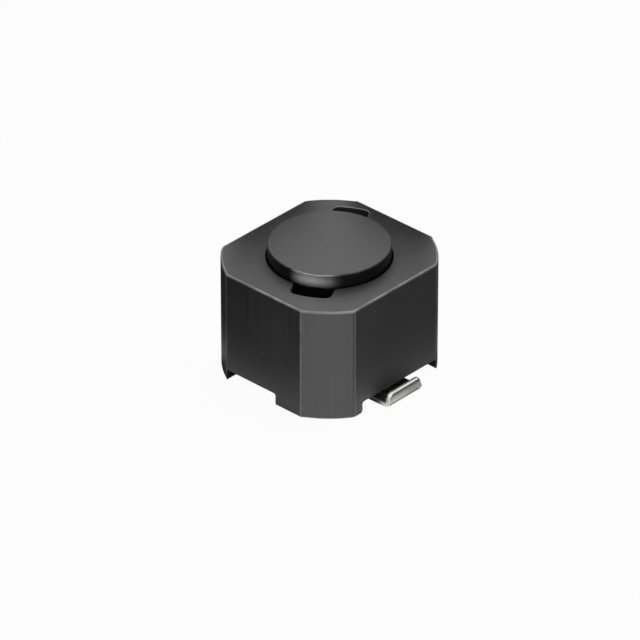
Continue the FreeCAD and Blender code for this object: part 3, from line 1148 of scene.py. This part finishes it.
def painted_floor_light(tree, outside):
    """Painted light that gloss shows on the floor: pools in front, close round the part and to the right,
    with painted shadow under the part and at the foot of each strip.
    """
    across, ahead, _ = turned_to_front(tree, "Object")
    in_front = combine(tree, "SUBTRACT", ahead, combine(tree, "ABSOLUTE", across))
    clear_of_part = smooth_step(tree, outside, clear_of_part_span)
    near_light = smooth_step(tree, outside, near_pool_span, near_pool)
    for share in (
        smooth_step(tree, combine(tree, "SUBTRACT", ahead, across), lit_side_span, lit_side_shares),
        smooth_step(tree, across, right_side_span, right_side_shares),
        clear_of_part,
        smooth_step(tree, share_of_reach(tree, strip_high), clear_of_strips_span, strip_shadow),
    ):
        near_light = combine(tree, "MULTIPLY", near_light, share)
    front_light = smooth_step(tree, in_front, front_pool_span, front_pool)
    right_light = smooth_step(tree, across, right_pool_span, right_pool)
    right_light = combine(tree, "MULTIPLY", right_light, clear_of_part)
    return combine(tree, "MAXIMUM", combine(tree, "MAXIMUM", front_light, near_light), right_light)


def white_glow(tree, strength):
    """White light given off by a surface."""
    return add_node(tree, "ShaderNodeEmission", {"Color": white, "Strength": strength}).outputs["Emission"]


def mix_shaders(tree, share, first, second):
    """Shader that goes from the first to the second as the share grows."""
    return add_node(tree, "ShaderNodeMixShader", {0: share, 1: first, 2: second}).outputs["Shader"]


def make_floor_white():
    """White floor, seen through from below, from where it also lights the underside; in gloss it shows
    painted pools of light and painted shadows.
    """
    material, tree, plain_shader = new_material("white_floor")
    tree.nodes.remove(plain_shader)
    outside = share_of_reach(tree, shield_high)
    seen, glossy = ray_kinds(tree)
    beside_footprint = smooth_step(tree, outside, footprint_span, (0.0, 1 - floor_shadow_share))
    diffuse = add_node(tree, "ShaderNodeBsdfDiffuse", {"Color": floor_colour}).outputs["BSDF"]
    clear = add_node(tree, "ShaderNodeBsdfTransparent").outputs["BSDF"]
    path = add_node(tree, "ShaderNodeLightPath").outputs
    seen_from_below = combine(tree, "GREATER_THAN", path["Transparent Depth"])
    back = add_node(tree, "ShaderNodeNewGeometry").outputs["Backfacing"]
    seen_white = combine(tree, "MULTIPLY", seen, beside_footprint)
    lit = mix_shaders(tree, seen_white, diffuse, white_glow(tree, 1.0))
    # In gloss the floor glows with painted pools of light and painted shadows.
    lit = mix_shaders(tree, glossy, lit, white_glow(tree, painted_floor_light(tree, outside)))
    lit = mix_shaders(tree, seen_from_below, lit, white_glow(tree, under_light))
    set_inputs(tree, tree.nodes["Material Output"], {"Surface": mix_shaders(tree, back, lit, clear)})
    return material


def add_stage_mesh(name, shell, material):
    """Object of the studio, which is no piece of the part."""
    mesh = bpy.data.meshes.new(name)
    shell.to_mesh(mesh)
    shell.free()
    mesh.materials.append(material)
    thing = bpy.data.objects.new(name, mesh)
    bpy.context.scene.collection.objects.link(thing)
    return thing


def make_surroundings():
    """White round the part as far as it is seen, and a plain even light otherwise."""
    world = bpy.data.worlds.new("white_surroundings")
    bpy.context.scene.world = world
    world.use_nodes = True
    tree = world.node_tree
    across, ahead, above = turned_to_front(tree, "Generated")
    seen, glossy = ray_kinds(tree)
    behind = combine(tree, "MULTIPLY", ahead, -1.0)
    lift = combine(tree, "MULTIPLY", combine(tree, "MAXIMUM", ahead), front_lift)
    drop = combine(tree, "MULTIPLY", combine(tree, "ABSOLUTE", across), -side_drop)
    lift_behind = combine(tree, "MULTIPLY", combine(tree, "MAXIMUM", behind), back_lift)
    height = combine(tree, "ADD", above, lift)
    height = combine(tree, "ADD", height, combine(tree, "ADD", lift_behind, drop))
    in_gloss = combine(tree, "MULTIPLY", smooth_step(tree, height, horizon_span, horizon_light), glossy)
    direct = combine(tree, "MAXIMUM", seen, in_gloss)
    indirect = combine(tree, "MULTIPLY", combine(tree, "SUBTRACT", 1.0, glossy), surroundings_light)
    strength = combine(tree, "MAXIMUM", direct, indirect)
    set_inputs(tree, tree.nodes["Background"], {"Color": white, "Strength": strength})


def add_lamp(name, target, azimuth, elevation, distance, width, height, power):
    """Soft oblong lamp that points at a target; the camera doesn't see it."""
    data = bpy.data.lights.new(name, "AREA")
    data.shape = "RECTANGLE"
    data.size = width
    data.size_y = height
    data.energy = power
    lamp = bpy.data.objects.new(name, data)
    away = direction_from(azimuth, elevation)
    lamp.location = target + away * distance
    lamp.rotation_mode = "QUATERNION"
    lamp.rotation_quaternion = away.to_track_quat("Z", "Y")
    lamp.visible_camera = False
    bpy.context.scene.collection.objects.link(lamp)
    return lamp


def add_dark_card(name, azimuth, distance, sideways, high, width):
    """Dark card hung upright behind the part, which shows only in its gloss."""
    plain = {"Base Color": black, "Roughness": 1.0, "Specular IOR Level": 0.0}
    glow = {"Emission Color": white, "Emission Strength": card_light}
    material, _, _ = new_material(name, {**plain, **glow})
    left, right = sideways - width / 2, sideways + width / 2
    corners = ((left, card_bottom), (right, card_bottom), (right, high), (left, high))
    shell = bmesh.new()
    shell.faces.new([shell.verts.new((across, -distance, up)) for across, up in corners])
    shell.transform(Matrix.Rotation(azimuth, 4, "Z"))
    card = add_stage_mesh(name, shell, material)
    card.visible_camera = False
    card.visible_diffuse = False
    card.visible_shadow = False
    card.visible_transmission = False


floor_shell = bmesh.new()
bmesh.ops.create_circle(floor_shell, cap_ends=True, radius=floor_radius, segments=floor_sides)
floor = add_stage_mesh("floor", floor_shell, make_floor_white())
floor.location.z = -floor_clearance
make_surroundings()
# At this power the softbox lights a white card that faces it to its share of full white.
softbox = add_lamp(
    "overhead_softbox",
    target=part_middle,
    azimuth=math.radians(180),
    elevation=math.radians(68),
    distance=softbox_distance,
    width=softbox_width,
    height=softbox_width,
    power=softbox_light * math.pi**2 * softbox_distance**2,
)
softbox.visible_glossy = False
disc_lamp = add_lamp(
    "disc_side_lamp",
    target=direction_from(disc_side_azimuth, 0) * flange_radius + Vector((0, 0, disc_side_height)),
    azimuth=disc_side_azimuth - math.radians(16),
    elevation=0,
    distance=12 * MM,
    width=2.6 * MM,
    height=0.4 * MM,
    power=strip_lamp_power,
)
disc_lamp.data.spread = strip_lamp_spread
add_dark_card(
    "dark_card_left",
    azimuth=math.radians(-90),
    distance=7.8 * MM,
    sideways=-2.9 * MM,
    high=13.5 * MM,
    width=8.2 * MM,
)
add_dark_card(
    "dark_card_right",
    azimuth=math.radians(180),
    distance=7.6 * MM,
    sideways=1.5 * MM,
    high=13.0 * MM,
    width=7.4 * MM,
)


# Camera: placed round the part as the photograph was taken, with a long lens.
# The middle of the part shows a little right of and above the middle of the frame.
camera_azimuth = math.radians(42.9)
camera_elevation = math.radians(32.0)
camera_distance = 452.3 * MM
frame_pixels = 640
pixels_per_metre = 15487
part_middle_pixel = (328.95, 308.14)
frame_middle_pixel = 319.5
sensor_width = 36.0


def make_camera():
    """Camera whose picture shows the part where the photograph does."""
    away = direction_from(camera_azimuth, camera_elevation)
    right = Vector((math.cos(camera_azimuth), math.sin(camera_azimuth), 0))
    up = away.cross(right)
    right_of_middle = (part_middle_pixel[0] - frame_middle_pixel) / pixels_per_metre
    above_middle = (frame_middle_pixel - part_middle_pixel[1]) / pixels_per_metre
    data = bpy.data.cameras.new("camera")
    data.sensor_width = sensor_width
    data.lens = sensor_width * camera_distance * pixels_per_metre / frame_pixels
    data.clip_start = 0.01
    data.clip_end = 10.0
    camera = bpy.data.objects.new("camera", data)
    camera.location = part_middle - right * right_of_middle - up * above_middle + away * camera_distance
    camera.rotation_mode = "QUATERNION"
    camera.rotation_quaternion = Matrix((right, up, away)).transposed().to_quaternion()
    bpy.context.scene.collection.objects.link(camera)
    bpy.context.scene.camera = camera


make_camera()
bpy.context.scene.view_settings.view_transform = "Standard"
